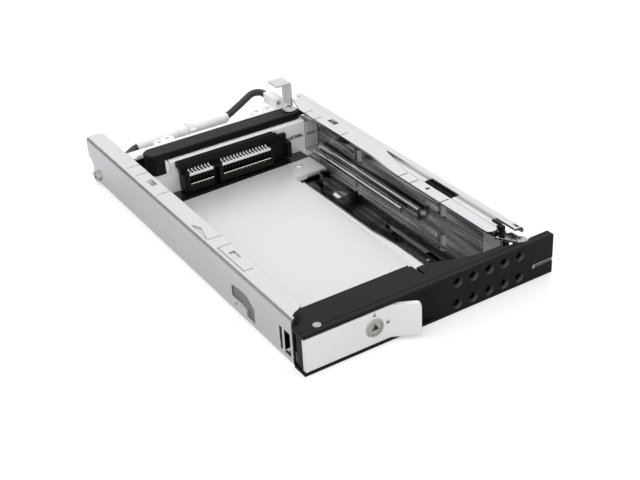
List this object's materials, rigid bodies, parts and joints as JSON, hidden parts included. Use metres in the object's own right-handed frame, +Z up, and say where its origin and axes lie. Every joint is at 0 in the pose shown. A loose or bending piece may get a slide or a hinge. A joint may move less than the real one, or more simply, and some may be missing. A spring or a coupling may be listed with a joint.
{
  "type": "hard drive mobile rack",
  "caption": "slim steel drive tray with a hinged black front door, lever latch with key lock, ejector arm and a drive receptacle at the rear",
  "frame": {"origin": "middle of the tray's underside, on the surface it stands on", "axes": "+X to the right seen from the front, +Y from the door to the rear, +Z up"},
  "size_m": [0.0881, 0.1492, 0.0222],
  "materials": {
    "zinc_steel": "satin zinc-plated sheet",
    "bright_steel": "bright rolled sheet",
    "spring_steel": "satin spring leaf",
    "plated_steel": "bright plated",
    "handle_silver": "satin anodised",
    "contact_gold": "gold-plated",
    "ledge_white": "smooth moulded",
    "black_plastic": "satin moulded",
    "connector_black": "matt moulded",
    "board_green": "solder mask",
    "film_black": "thin film",
    "sleeve_white": "shrink sleeve",
    "lead_dark": "cable jacket",
    "nylon_white": "moulded nylon",
    "light_clear": "clear light pipe"
  },
  "bodies": {
    "housing": {"housing_tray": "zinc_steel", "guide_rail": "bright_steel", "spring_tab_1": "spring_steel", "spring_tab_2": "spring_steel", "catch_plate": "spring_steel", "backplate": "ledge_white", "insulating_film": "film_black", "circuit_board": "board_green", "board_parts": "connector_black", "receptacle": "connector_black", "signal_contacts": "contact_gold", "power_contacts": "contact_gold", "data_connector": "connector_black", "power_header": "nylon_white", "hook_bracket": "black_plastic", "pivot_screw": "plated_steel", "rod_guide": "black_plastic", "hinge_bracket": "bright_steel", "hinge_pin": "plated_steel", "side_screw": "plated_steel", "power_lead": "lead_dark", "lead_sleeve": "sleeve_white", "cable_tie": "nylon_white", "lead_socket": "connector_black", "lead_plug": "nylon_white"},
    "door": {"door": "black_plastic", "light_pipe": "light_clear", "handle_pin": "plated_steel"},
    "handle": {"handle": "handle_silver", "latch_lever": "black_plastic", "lock_barrel": "plated_steel"},
    "lock": {"lock_plug": "plated_steel", "lock_cam": "plated_steel"},
    "rod": {"push_rod": "bright_steel", "rod_pin": "plated_steel", "rod_foot": "black_plastic"},
    "arm": {"ejector_arm": "black_plastic"}
  },
  "joints": [
    {"name": "door_hinge", "type": "hinge", "parent": "housing", "child": "door", "pos_m": [0.038, -0.0713, 0.006], "axis": [0, 0, 1], "range_deg": [0, 90]},
    {"name": "handle_pivot", "type": "hinge", "parent": "door", "child": "handle", "pos_m": [-0.03405, -0.0728, 0.00665], "axis": [0, 0, -1], "range_deg": [0, 35]},
    {"name": "lock_turn", "type": "hinge", "parent": "handle", "child": "lock", "pos_m": [-0.0173, -0.0734, 0.00665], "axis": [0, 1, 0], "range_deg": [0, 90]},
    {"name": "rod_slide", "type": "slide", "parent": "housing", "child": "rod", "axis": [0, 1, 0], "range_m": [0, 0.00206]},
    {"name": "arm_turn", "type": "hinge", "parent": "housing", "child": "arm", "pos_m": [0.0281, 0.0439, 0.0144], "axis": [0, 0, 1], "range_deg": [0, 12.2]}
  ],
  "couplings": [
    {"joint": "rod_slide", "follows": "door_hinge", "m_per_rad": 0.001298},
    {"joint": "arm_turn", "follows": "door_hinge", "ratio": 0.1333}
  ]
}
